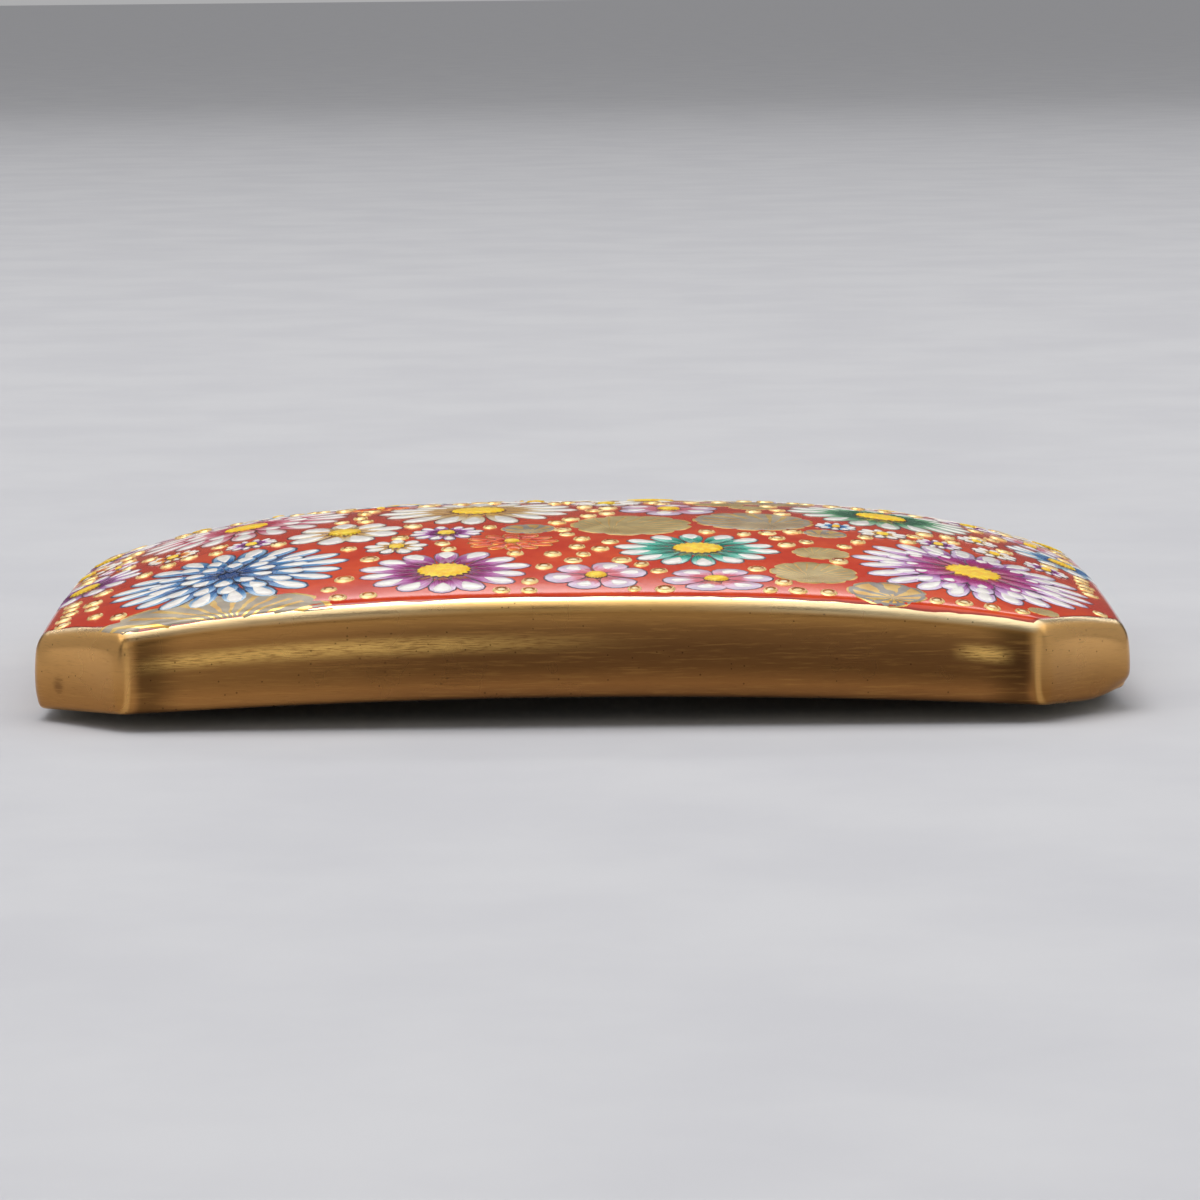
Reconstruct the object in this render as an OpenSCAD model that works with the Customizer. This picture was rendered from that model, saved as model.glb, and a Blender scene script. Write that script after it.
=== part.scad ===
// An obidome, the ornament that slides on the cord of a kimono sash: an arched plate of fired clay with
// cut corners, glazed red and gilded round its wall, with packed flowers in raised enamel on its domed
// face and two metal loops in its hollow back for the cord.
// Millimetres. +X runs along the plate, +Y across it and +Z out of the painted face. The origin lies
// under the plate's middle, in the plane that the two loops stand on.

/* [Plate] */
// Length of the plate from end to end
plate_l = 50; // [46:1:60]
// Width of the plate from long side to long side
plate_w = 37; // [35:1:46]
// Setback of each cut corner along both sides
corner_cut = 4.2; // [3:0.1:6]
// Radius that softens each upright ridge between two walls
ridge_r = 1; // [0.8:0.1:1.4]
// Height of the side wall at the middle of a long side
wall_h = 4.54; // [4.3:0.1:6]
// Depth to which each wall is hollowed between its ridges
wall_hollow = 0.22; // [0:0.02:0.3]
// Radius of the rounded upper edge, the gilded lip
lip_r = 0.7; // [0.4:0.05:0.75]
// Radius of the rounded lower edge of the wall
rim_r = 0.35; // [0.2:0.05:0.6]

/* [Arch and dome] */
// Height of the rim's two ends over the plane that the loops stand on
end_clearance = 0.5; // [0.3:0.1:1.2]
// Rise of the arched rim from its ends to the middle of a long side
arch_h = 0.85; // [0.3:0.05:1.4]
// Fall of the lip from the middle of the plate to its ends
lip_drop = 2.2; // [1.2:0.1:2.4]
// Rise of the domed face over the lip at the middle of the plate
crown_h = 2; // [1.8:0.1:3]
// Share of that rise that is left at the two ends
end_crown = 0.33; // [0.1:0.01:0.7]

/* [Hollow back] */
// Thickness of the clay between the domed face and the hollow
clay_t = 2; // [1.6:0.1:2.1]
// Width of the flat rim along each long side
rim_side = 3.5; // [2.5:0.1:5]
// Width of the flat rim at each end
rim_end = 3; // [2:0.1:4]
// Radius between the wall of the hollow and its ceiling
hollow_r = 2.4; // [1:0.1:3]

/* [Cord loops] */
// Distance from the plate's middle to the nearer edge of each loop
loop_start = 9.5; // [6:0.1:9.8]
// Width of the metal strap, measured along the plate
loop_w = 7; // [4:0.1:7.5]
// Room for the cord between the two legs of a loop
cord_room = 12; // [8:0.5:14]
// Thickness of the metal strap
strap_t = 0.65; // [0.5:0.05:0.75]
// Inner radius of the strap's two bends
bend_r = 0.8; // [0.4:0.1:1.5]
// Gap between a leg's end and the clay that it is cemented to
cement_gap = 0.08; // [0.04:0.02:0.2]

/* [Raised enamel] */
// Height of a flower's petals over the glaze
enamel_h = 0.26; // [0.15:0.01:0.5]
// Gap between the underside of a flower and the glaze
glaze_gap = 0.06; // [0.05:0.01:0.12]

/* [Hidden] */

half_l = plate_l / 2;
half_w = plate_w / 2;

// Powers that shape the fall of the lip and of the dome towards the ends
lip_power = 2.8;
crown_power = 5;

// Arched underside, lip and dome
function rim_z(x) = end_clearance + arch_h * (1 - pow(x / half_l, 2));
function lip_z(x) = end_clearance + arch_h + wall_h - lip_drop * pow(abs(x) / half_l, lip_power);
function crown_z(x) = crown_h * (1 - (1 - end_crown) * pow(abs(x) / half_l, crown_power));
function face_z(x, y) = lip_z(x) + crown_z(x) * (1 - pow(y / half_w, 2));
function ceiling_z(x, y) = face_z(x, y) - clay_t;

// Outline of the plate: eight walls, numbered from the near right corner, with a rounded ridge before
// each. A row holds a point, its outward direction and how far it lies from the nearest ridge.
ridge_points = 4;
long_points = 15;
end_points = 9;
corner_points = 2;
corners = [
    [half_l - corner_cut, -half_w], [half_l, corner_cut - half_w],
    [half_l, half_w - corner_cut], [half_l - corner_cut, half_w],
    [corner_cut - half_l, half_w], [-half_l, half_w - corner_cut],
    [-half_l, corner_cut - half_w], [corner_cut - half_l, -half_w]
];
function toward(angle) = [cos(angle), sin(angle)];
function wall_points(i) = i % 2 == 0 ? corner_points : i % 4 == 1 ? end_points : long_points;
function ridge_rows(i) =
    let (middle = corners[i] - toward(45 * i - 67.5) * ridge_r / cos(22.5))
    [for (k = [0:ridge_points - 1])
        let (way = toward(45 * i - 90 + 45 * k / (ridge_points - 1)), point = middle + way * ridge_r)
        [point.x, point.y, way.x, way.y, 0]];
function wall_rows(i) =
    let (
        way = toward(45 * i - 45),
        run = toward(45 * i + 45),
        ease = ridge_r * tan(22.5),
        length = norm(corners[(i + 1) % 8] - corners[i]) - 2 * ease,
        count = wall_points(i)
    )
    [for (k = [1:count])
        let (along = length * k / (count + 1), point = corners[i] + run * (ease + along))
        [point.x, point.y, way.x, way.y, min(along, length - along)]];
outline = [for (i = [0:7], row = concat(ridge_rows(i), wall_rows(i))) row];

// One closed skin over rings of points, from a single top point to a single bottom point. Each ring runs
// anticlockwise as seen from above.
module skin(top, rings, bottom) {
    count = len(rings[0]);
    last = len(rings) - 1;
    end = (last + 1) * count + 1;
    function at(ring, k) = 1 + ring * count + k % count;
    faces = concat(
        [for (k = [0:count - 1]) [0, at(0, k + 1), at(0, k)]],
        [for (ring = [0:last - 1], k = [0:count - 1]) [at(ring, k), at(ring, k + 1), at(ring + 1, k + 1)]],
        [for (ring = [0:last - 1], k = [0:count - 1]) [at(ring, k), at(ring + 1, k + 1), at(ring + 1, k)]],
        [for (k = [0:count - 1]) [at(last, k), at(last, k + 1), end]]
    );
    polyhedron(points = concat([top], [for (ring = rings, point = ring) point], [bottom]), faces = faces);
}

// Domed face, from near its middle out to the lip, as shares of the way
face_shares = [0.14, 0.28, 0.42, 0.55, 0.68, 0.8, 0.9, 0.965];
function inset(row, depth) = [row[0] - row[2] * depth, row[1] - row[3] * depth];
function face_ring(share) = [for (row = outline)
    let (point = inset(row, lip_r) * share) [point.x, point.y, face_z(point.x, point.y)]];

// Rounded lip, by the angle that its outward slope has reached
function lip_ring(angle) = [for (row = outline)
    let (point = inset(row, lip_r * (1 - cos(angle))))
    [point.x, point.y, face_z(point.x, point.y) - lip_r * (1 - sin(angle))]];

// Side wall, hollowed a little between its ridges, by the share of its height
hollow_run = 2.5 * ridge_r;
function wall_ring(share) = [for (row = outline)
    let (
        low = rim_z(row[0]) + rim_r,
        high = face_z(row[0], row[1]) - lip_r,
        point = inset(row, wall_hollow * sin(180 * share) * min(1, row[4] / hollow_run))
    )
    [point.x, point.y, low + (high - low) * share]];

// Rounded lower edge and flat rim
function rim_ring(angle) = [for (row = outline)
    let (point = inset(row, rim_r * (1 - cos(angle))))
    [point.x, point.y, rim_z(point.x) + rim_r * (1 - sin(angle))]];

// Oval hollow, on the same rays from the middle as the outline
oval_power = 2.6;
function oval(row, depth) =
    let (
        angle = atan2(row[1], row[0]),
        a = abs(cos(angle)) / (half_l - rim_end - depth),
        b = abs(sin(angle)) / (half_w - rim_side - depth)
    )
    toward(angle) / pow(pow(a, oval_power) + pow(b, oval_power), 1 / oval_power);
function rim_flat_ring(share) = [for (row = outline)
    let (point = inset(row, rim_r) * (1 - share) + oval(row, 0) * share)
    [point.x, point.y, rim_z(point.x)]];
function hollow_fillet(point) = min(hollow_r, 0.8 * (ceiling_z(point.x, point.y) - rim_z(point.x)));
function hollow_ring(angle) = [for (row = outline)
    let (r = hollow_fillet(oval(row, 0)), point = oval(row, r * (1 - cos(angle))))
    [point.x, point.y, ceiling_z(point.x, point.y) - r * (1 - sin(angle))]];
ceiling_shares = [0.8, 0.6, 0.4, 0.2];
function ceiling_ring(share) = [for (row = outline)
    let (point = oval(row, hollow_r) * share) [point.x, point.y, ceiling_z(point.x, point.y)]];

module plate() {
    color([0.78, 0.36, 0.2])
        skin(
            [0, 0, face_z(0, 0)],
            concat(
                [for (share = face_shares) face_ring(share)],
                [for (angle = [90:-22.5:0]) lip_ring(angle)],
                [for (step = [5:-1:1]) wall_ring(step / 6)],
                [for (angle = [0:30:90]) rim_ring(angle)],
                [rim_flat_ring(0.5), rim_flat_ring(1)],
                [for (angle = [0:22.5:90]) hollow_ring(angle)],
                [for (share = ceiling_shares) ceiling_ring(share)]
            ),
            [0, 0, ceiling_z(0, 0)]
        );
}

// A loop is a strap bent down from the ceiling, under the cord and up again. Its legs end along the
// slope of the ceiling, a cement gap short of it.
leg_y = cord_room / 2 + strap_t;
bend_out = bend_r + strap_t;
leg_top = face_z(0, 0);
module strap_shape(width, low, r) {
    translate([r - width / 2, low])
        square([width - 2 * r, r]);
    translate([-width / 2, low + r])
        square([width, leg_top]);
    for (side = [-1, 1])
        translate([side * (width / 2 - r), low + r])
            circle(r = r, $fn = 48);
}
module cord_loop(side) {
    near_z = ceiling_z(loop_start, leg_y) - cement_gap;
    far_z = ceiling_z(loop_start + loop_w, leg_y) - cement_gap;
    color([0.72, 0.52, 0.27])
        mirror([side < 0 ? 1 : 0, 0, 0])
        translate([loop_start, 0, 0])
            intersection() {
                rotate([90, 0, 90])
                    linear_extrude(loop_w)
                        difference() {
                            strap_shape(2 * leg_y, 0, bend_out);
                            strap_shape(cord_room, strap_t, bend_r);
                        }
                translate([0, leg_y, 0])
                    rotate([90, 0, 0])
                        linear_extrude(2 * leg_y)
                            polygon([[0, 0], [loop_w, 0], [loop_w, far_z], [0, near_z]]);
            }
}

// Flowers, placed and sized in shares of half the plate's length and width: name, place along and
// across, reach along and across, number of petals, reach of the raised centre, and colour.
flowers = [
    ["flower_blue", -0.652, -0.638, 0.232, 0.281, 20, 0.2, [0.36, 0.56, 0.76]],
    ["flower_violet", -0.252, -0.759, 0.168, 0.195, 16, 0.3, [0.72, 0.55, 0.76]],
    ["flower_teal", 0.216, -0.573, 0.16, 0.178, 18, 0.3, [0.35, 0.7, 0.64]],
    ["flower_purple", 0.724, -0.627, 0.232, 0.287, 24, 0.26, [0.62, 0.28, 0.56]],
    ["blossom_near_left", 0.026, -0.822, 0.1, 0.124, 6, 0.3, [0.9, 0.76, 0.84]],
    ["blossom_near_right", 0.244, -0.855, 0.112, 0.1, 6, 0.3, [0.9, 0.74, 0.8]],
    ["flower_rose", -0.655, 0.1, 0.215, 0.3, 18, 0.24, [0.88, 0.6, 0.66]],
    ["flower_white", -0.2, 0.03, 0.2, 0.28, 18, 0.28, [0.95, 0.92, 0.88]],
    ["flower_green", 0.585, 0.07, 0.19, 0.26, 16, 0.28, [0.5, 0.7, 0.52]],
    ["flower_sky", -0.36, 0.63, 0.2, 0.26, 18, 0.26, [0.6, 0.76, 0.86]],
    ["flower_amber", 0.14, 0.56, 0.19, 0.26, 16, 0.28, [0.93, 0.78, 0.42]],
    ["flower_crimson", 0.62, 0.64, 0.2, 0.25, 20, 0.26, [0.74, 0.25, 0.32]],
    ["blossom_left", -0.77, 0.6, 0.11, 0.14, 6, 0.3, [0.92, 0.8, 0.84]],
    ["blossom_middle", 0.17, 0.03, 0.11, 0.15, 6, 0.3, [0.93, 0.84, 0.86]],
    ["blossom_right", 0.885, 0.19, 0.075, 0.11, 6, 0.3, [0.9, 0.78, 0.86]]
];

// Section of a flower from its centre to its rim, in shares of its reach and of the enamel's height:
// reach and height along a petal, then reach and height in the notch between two petals.
petal_sections = [
    [0.62, 1, 0.62, 1],
    [1, 0.7, 1, 0.7],
    [2.2, 0.85, 2.2, 0.35],
    [0, 0.45, 0, 0.25],
    [0, 0, 0, 0]
];
petal_corners = 3;
notch_reach = 0.84;
module flower(f) {
    along = f[1] * half_l;
    across = f[2] * half_w;
    count = petal_corners * f[5];
    function in_notch(k) = k % petal_corners == 0;
    function edge(k) = in_notch(k) ? notch_reach : 1;
    // A share of the reach over one is counted in reaches of the centre, and 0 stands for the rim
    function reach(section, k) = section[0] == 0 ? edge(k) : section[0] * f[6];
    function ring(section) = [for (k = [0:count - 1])
        let (
            way = toward(360 * (k + 0.5) / count),
            x = along + way.x * f[3] * half_l * reach(section, k),
            y = across + way.y * f[4] * half_w * reach(section, k)
        )
        [x, y, face_z(x, y) + glaze_gap + enamel_h * section[in_notch(k) ? 3 : 1]]];
    function under_ring(share) = [for (k = [0:count - 1])
        let (
            way = toward(360 * (k + 0.5) / count),
            x = along + way.x * f[3] * half_l * share,
            y = across + way.y * f[4] * half_w * share
        )
        [x, y, face_z(x, y) + glaze_gap]];
    ground = face_z(along, across) + glaze_gap;
    color(f[7])
        skin(
            [along, across, ground + enamel_h],
            concat([for (section = petal_sections) ring(section)], [under_ring(0.5)]),
            [along, across, ground]
        );
}

plate();
cord_loop(-1);  // loop_left
cord_loop(1);  // loop_right
for (f = flowers) {
    flower(f);
}
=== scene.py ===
# %% [markdown]
# # A ceramic obidome, dressed in gilding and enamel
# The frame is an arched clay plate, two metal cord loops and the main flowers as plain rosettes.
# Here each of them gets the surface of the real thing: red glaze, worn gilding, and petals laid on
# one by one in thick enamel. Everything is in metres, in the frame's own place.

# %% Load the frame and keep its box
import math
import random

import bmesh
import bpy
from mathutils import Matrix, Vector


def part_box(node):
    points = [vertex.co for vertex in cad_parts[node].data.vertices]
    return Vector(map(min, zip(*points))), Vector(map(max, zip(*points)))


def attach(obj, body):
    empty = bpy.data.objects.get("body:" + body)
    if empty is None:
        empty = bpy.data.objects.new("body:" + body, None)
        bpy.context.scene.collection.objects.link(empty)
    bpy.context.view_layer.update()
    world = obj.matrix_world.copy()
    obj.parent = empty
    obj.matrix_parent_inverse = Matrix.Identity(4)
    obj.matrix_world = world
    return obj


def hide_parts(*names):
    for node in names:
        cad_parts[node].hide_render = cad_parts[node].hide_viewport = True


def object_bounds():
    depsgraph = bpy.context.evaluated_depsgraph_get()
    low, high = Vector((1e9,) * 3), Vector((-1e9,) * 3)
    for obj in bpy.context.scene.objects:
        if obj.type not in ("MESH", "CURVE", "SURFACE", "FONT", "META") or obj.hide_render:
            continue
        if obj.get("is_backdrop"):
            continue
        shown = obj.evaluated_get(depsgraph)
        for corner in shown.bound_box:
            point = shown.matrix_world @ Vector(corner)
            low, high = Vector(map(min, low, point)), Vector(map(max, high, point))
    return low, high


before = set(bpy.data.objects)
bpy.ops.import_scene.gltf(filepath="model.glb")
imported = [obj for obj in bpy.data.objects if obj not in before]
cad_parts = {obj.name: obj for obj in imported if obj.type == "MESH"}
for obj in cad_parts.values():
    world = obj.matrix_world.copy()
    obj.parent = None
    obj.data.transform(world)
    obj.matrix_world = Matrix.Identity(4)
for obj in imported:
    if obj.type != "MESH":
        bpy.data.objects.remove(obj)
cad_low, cad_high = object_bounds()
MM = 0.001
half_l = cad_high.x
half_w = cad_high.y
print("frame box, mm:", [round(v / MM, 2) for v in (*cad_low, *cad_high)])

# %% [markdown]
# ## Small helpers
# An operator acts on all that is selected, so a new piece is made with nothing else selected, and
# in edit mode the vertices to work on are picked in code by where they lie.

# %% Helpers for picking things and finishing them


def only(thing):
    """Leaves one object selected and active."""
    bpy.ops.object.select_all(action="DESELECT")
    thing.select_set(True)
    bpy.context.view_layer.objects.active = thing
    return thing


def edit(thing):
    """Opens one object in edit mode with everything selected."""
    only(thing)
    bpy.ops.object.mode_set(mode="EDIT")
    bpy.ops.mesh.select_all(action="SELECT")


def select_where(thing, test):
    """Selects the vertices of a mesh in edit mode whose place passes the test."""
    bpy.ops.mesh.select_mode(type="VERT")
    mesh = bmesh.from_edit_mesh(thing.data)
    for vertex in mesh.verts:
        vertex.select_set(test(vertex.co))
    mesh.select_flush_mode()
    bmesh.update_edit_mesh(thing.data)


def done(thing):
    """Leaves edit mode."""
    bpy.ops.object.mode_set(mode="OBJECT")
    return thing


def apply_all(thing):
    """Applies every modifier in order."""
    only(thing)
    for modifier in list(thing.modifiers):
        bpy.ops.object.modifier_apply(modifier=modifier.name)
    return thing


def joined(name, things):
    """Joins objects into one, with its place in its mesh."""
    bpy.ops.object.select_all(action="DESELECT")
    for thing in things:
        thing.select_set(True)
    bpy.context.view_layer.objects.active = things[0]
    bpy.ops.object.join()
    whole = bpy.context.object
    whole.name = name
    bpy.ops.object.transform_apply(location=True, rotation=True, scale=True)
    return whole


def copy_of(thing, place=(0, 0, 0), turn=0.0, size=(1, 1, 1)):
    """A copy with a mesh of its own, turned about Z."""
    twin = thing.copy()
    twin.data = thing.data.copy()
    twin.location = place
    twin.rotation_euler = (0, 0, turn)
    twin.scale = size
    bpy.context.collection.objects.link(twin)
    return twin


def drop(thing):
    """Deletes a template that has been copied."""
    bpy.data.objects.remove(thing)


# %% [markdown]
# ## Colours and shader groups
# Colours are read off the photograph as screen values and turned into the linear values
# that a shader wants. Three effects come back in several finishes, so each is a group of its own:
# brushed streaks, scattered specks and a slow cloudiness. A group only puts out masks. Short
# helpers add, multiply and blend, so that a finish below reads as a list of layers.

# %% Colour and node helpers


def tone(red, green, blue):
    """A screen colour, 0 to 255, as a linear colour."""
    def linear(value):
        share = value / 255
        return share / 12.92 if share <= 0.04045 else ((share + 0.055) / 1.055) ** 2.4
    return (linear(red), linear(green), linear(blue), 1.0)


def add_node(tree, kind, sockets=None, **settings):
    """Adds a shader node, sets its settings, and fills or links its inputs."""
    node = tree.nodes.new(kind)
    for name, value in settings.items():
        setattr(node, name, value)
    for name, value in (sockets or {}).items():
        if isinstance(value, bpy.types.NodeSocket):
            tree.links.new(value, node.inputs[name])
        else:
            node.inputs[name].default_value = value
    return node


def math_node(tree, operation, first, second=0.0):
    """The result socket of a Math node."""
    return add_node(tree, "ShaderNodeMath", {0: first, 1: second}, operation=operation).outputs[0]


def times(tree, first, second):
    """The product of two values."""
    return math_node(tree, "MULTIPLY", first, second)


def plus(tree, first, second):
    """The sum of two values."""
    return math_node(tree, "ADD", first, second)


def less(tree, first, second):
    """The first value less the second."""
    return math_node(tree, "SUBTRACT", first, second)


def rest_of(tree, share):
    """What a share leaves of 1."""
    return less(tree, 1.0, share)


def step_node(tree, value, low, high):
    """A smooth step from 0 at low to 1 at high."""
    return add_node(tree, "ShaderNodeMapRange", {"Value": value, "From Min": low, "From Max": high},
                    interpolation_type="SMOOTHSTEP").outputs["Result"]


def band_node(tree, value, middle, full, gone):
    """1 close to a middle value, falling smoothly to 0 on both sides of it."""
    away = math_node(tree, "ABSOLUTE", less(tree, value, middle))
    return rest_of(tree, step_node(tree, away, full, gone))


def noise_node(tree, place, scale, detail, roughness=0.5):
    """A Noise Texture node on that place."""
    return add_node(tree, "ShaderNodeTexNoise", {"Vector": place, "Scale": scale, "Detail": detail,
                                                 "Roughness": roughness})


def mix_colour(tree, share, first, second):
    """The colour between two, by a share."""
    node = add_node(tree, "ShaderNodeMix", data_type="RGBA")
    for index, value in ((0, share), (6, first), (7, second)):
        if isinstance(value, bpy.types.NodeSocket):
            tree.links.new(value, node.inputs[index])
        else:
            node.inputs[index].default_value = value
    return node.outputs[2]


def new_group(name, inputs):
    """A shader group with number inputs, a Vector input and one Mask output."""
    tree = bpy.data.node_groups.new(name, "ShaderNodeTree")
    tree.interface.new_socket("Vector", in_out="INPUT", socket_type="NodeSocketVector")
    for label, value in inputs.items():
        socket = tree.interface.new_socket(label, in_out="INPUT", socket_type="NodeSocketFloat")
        socket.default_value = value
    tree.interface.new_socket("Mask", in_out="OUTPUT", socket_type="NodeSocketFloat")
    return tree, tree.nodes.new("NodeGroupInput").outputs, tree.nodes.new("NodeGroupOutput").inputs


def use_group(tree, group, **sockets):
    """Places a group in a material and gives its Mask socket."""
    node = add_node(tree, "ShaderNodeGroup", node_tree=group)
    for label, value in sockets.items():
        if isinstance(value, bpy.types.NodeSocket):
            tree.links.new(value, node.inputs[label])
        else:
            node.inputs[label].default_value = value
    return node.outputs["Mask"]


# %% The three shared effects
streaks, given, out = new_group("brushed_streaks", {"Stretch": 12.0, "Scale": 900.0})
flat = add_node(streaks, "ShaderNodeCombineXYZ", {"X": 1.0, "Y": 1.0, "Z": given["Stretch"]}).outputs[0]
drawn = add_node(streaks, "ShaderNodeVectorMath", {0: given["Vector"], 1: flat}, operation="MULTIPLY")
grain = noise_node(streaks, drawn.outputs[0], given["Scale"], 5.0, 0.62)
streaks.links.new(grain.outputs[0], out["Mask"])

specks, given, out = new_group("scattered_specks", {"Scale": 1500.0, "Size": 0.12, "Share": 0.35})
cells = add_node(specks, "ShaderNodeTexVoronoi", {"Vector": given["Vector"], "Scale": given["Scale"]})
near = math_node(specks, "LESS_THAN", cells.outputs["Distance"], given["Size"])
luck = add_node(specks, "ShaderNodeSeparateColor", {0: cells.outputs["Color"]}).outputs[0]
chosen = math_node(specks, "LESS_THAN", luck, given["Share"])
specks.links.new(times(specks, near, chosen), out["Mask"])

clouds, given, out = new_group("slow_clouds", {"Scale": 120.0, "Low": 0.4, "High": 0.62})
mist = noise_node(clouds, given["Vector"], given["Scale"], 4.0, 0.55)
clouds.links.new(step_node(clouds, mist.outputs[0], given["Low"], given["High"]), out["Mask"])
print("shader groups:", [group.name for group in bpy.data.node_groups])


def new_material(name):
    """An empty material with a Principled shader: the material, its tree, its shader and its place."""
    material = bpy.data.materials.new(name)
    material.use_nodes = True
    tree = material.node_tree
    shader = tree.nodes["Principled BSDF"]
    place = add_node(tree, "ShaderNodeTexCoord").outputs["Object"]
    return material, tree, shader, place


def bump(tree, shader, height, distance, strength=1.0):
    """Gives the shader a bump of that height in metres."""
    node = add_node(tree, "ShaderNodeBump", {"Height": height, "Distance": distance, "Strength": strength})
    tree.links.new(node.outputs[0], shader.inputs["Normal"])


# %% [markdown]
# ## The plate
# The real plate is one piece of fired clay. The frame's node already has its arch, dome, lip and
# hollow back, as loose triangles. A copy is merged, its triangles are paired into quads, the two
# fans in the middle become grids, and two levels of subdivision round it all. Voxel remeshing
# would be quicker, but it would blur the lip, which has to stay crisp.

# %% Measuring on the plate
corner_cut = 4.2 * MM
# the frame's heights in millimetres: the rim at an end, its arch, the lip in the middle, the
# lip's drop to an end, the dome over the lip, and the share of the dome that an end keeps
end_clearance, arch_h, lip_z, lip_drop, crown_h, end_crown = 0.5, 0.85, 5.89, 2.2, 2.0, 0.33


def inside(x, y):
    """How far a plan point lies inside the plate's outline, in metres."""
    return min(half_l - abs(x), half_w - abs(y), from_corner(x, y))


def from_corner(x, y):
    """How far a plan point lies inside the nearest cut corner, in metres."""
    return (half_l + half_w - corner_cut - abs(x) - abs(y)) / math.sqrt(2)


def wall_share(place):
    """How far up the wall a point lies, from 0 at the rim to 1 at the lip, which both arch."""
    along = abs(place.x) / half_l
    rim = end_clearance + arch_h * (1 - along ** 2)
    crown = crown_h * (1 - (1 - end_crown) * along ** 5) * (1 - (place.y / half_w) ** 2)
    lip = lip_z - lip_drop * along ** 2.8 + crown
    return (place.z / MM - rim) / (lip - rim)


for part, height in (("foot", end_clearance + arch_h), ("lip", lip_z)):
    share = wall_share(Vector((0, half_w, height * MM)))
    print("the wall's", part, "in the middle, as a share:", round(share, 2))

# %% The plate's clean skin
plate = bpy.data.objects.new("painted_plate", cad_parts["plate"].data.copy())
bpy.context.collection.objects.link(plate)
edit(plate)
bpy.ops.mesh.remove_doubles(threshold=0.001 * MM)
bpy.ops.mesh.tris_convert_to_quads(face_threshold=math.pi, shape_threshold=math.pi)
done(plate)
for upper in (True, False):
    edit(plate)
    bpy.ops.mesh.select_mode(type="VERT")
    mesh = bmesh.from_edit_mesh(plate.data)
    pole = max(mesh.verts, key=lambda v: (len(v.link_edges), v.co.z if upper else -v.co.z))
    bpy.ops.mesh.select_all(action="DESELECT")
    pole.select_set(True)
    bmesh.update_edit_mesh(plate.data)
    bpy.ops.mesh.delete(type="VERT")
    mesh = bmesh.from_edit_mesh(plate.data)
    bpy.ops.mesh.select_mode(type="EDGE")
    for edge in mesh.edges:
        edge.select_set(edge.is_boundary)
    bmesh.update_edit_mesh(plate.data)
    bpy.ops.mesh.fill_grid(span=22)
    done(plate)
edit(plate)
bpy.ops.mesh.normals_make_consistent(inside=False)
done(plate)
print("merged plate:", len(plate.data.vertices), "vertices")

# %% [markdown]
# A pressed and hand-finished wall is never quite flat. Each row of vertices between rim and lip
# is pushed out, by 0.11 mm at most, halfway up, and the foot is worn up beside two
# corners of one end. Proportional editing does that softly, where moving single vertices would
# leave dents. This wear is in the visual model alone and not in the frame.

# %% A hand-finished wall and foot
# edges of the bands up the wall, each round one row of vertices; the swelling ends at swell_end
row_edges = (0.15, 0.27, 0.39, 0.515, 0.64, 0.76, 0.865)
swell_size, swell_end = 0.55 * MM, 0.9
# which corner of the end, and how far its foot is worn up, in millimetres
worn_feet = ((-1, 0.42), (1, 0.25))
edit(plate)
for low, high in zip(row_edges, row_edges[1:]):
    middle = (low + high) / 2
    swell = swell_size * middle * (swell_end - middle)
    select_where(plate, lambda p: inside(p.x, p.y) < 0.4 * MM and low < wall_share(p) < high)
    bpy.ops.transform.resize(value=(1 + swell / half_l, 1 + swell / half_w, 1), center_override=(0, 0, 0))
for side, rise in worn_feet:
    select_where(plate, lambda p: p.x > half_l - 0.6 * MM and side * p.y > half_w - 5.6 * MM
                 and side * p.y < half_w - 3.4 * MM and p.z < 1.2 * MM)
    bpy.ops.transform.translate(value=(-0.12 * MM, 0, rise * MM), use_proportional_edit=True,
                                proportional_edit_falloff="SMOOTH", proportional_size=0.8 * MM)
done(plate)
only(plate)
bpy.ops.object.shade_smooth()
smoother = plate.modifiers.new("rounding", "SUBSURF")
smoother.levels = smoother.render_levels = 2
apply_all(plate)
corners = [len(face.vertices) for face in plate.data.polygons]
print("plate faces:", len(corners), "of which quads:", corners.count(4))

# %% [markdown]
# The painted field, the gilding and the bare back meet along lines that follow the plate's
# outline. Each vertex keeps how far inside the outline it lies, in millimetres, once for the face
# and once for the back, how far up the wall it is, and its distance from the cut corner. The
# material turns those into edges with a brush's unevenness. Painting masks by hand would need an
# image, and attributes follow the form by themselves.

# %% Distances kept on the plate
facing = plate.data.vertex_normals


def field_inset(place):
    """Millimetres inside the outline, more towards the ends, where the painter went further out."""
    swing = 0.2 * MM * min(1.0, (place.x / (14 * MM)) ** 2)
    straight = min(half_l - abs(place.x), half_w - abs(place.y)) + swing
    return min(straight, 0.8 * from_corner(place.x, place.y)) / MM


measures = {
    "face_inset": lambda v: field_inset(v.co) if facing[v.index].vector.z > 0.02 else 0.0,
    "back_inset": lambda v: inside(v.co.x, v.co.y) / MM if facing[v.index].vector.z < -0.02 else 0.0,
    "wall_share": lambda v: wall_share(v.co),
    "corner_gap": lambda v: from_corner(v.co.x, v.co.y) / MM,
}
for name, measure in measures.items():
    layer = plate.data.attributes.new(name, "FLOAT", "POINT")
    layer.data.foreach_set("value", [measure(vertex) for vertex in plate.data.vertices])
print("plate measures:", list(measures))

# %% [markdown]
# ### The red
# The field is an iron red laid on by brush over the glaze. It pools darker here and there and ends
# in a thin dark line, where the brush followed the edge. Its edge wanders by a tenth or two of a
# millimetre, which a noise on the kept distance gives.

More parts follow.
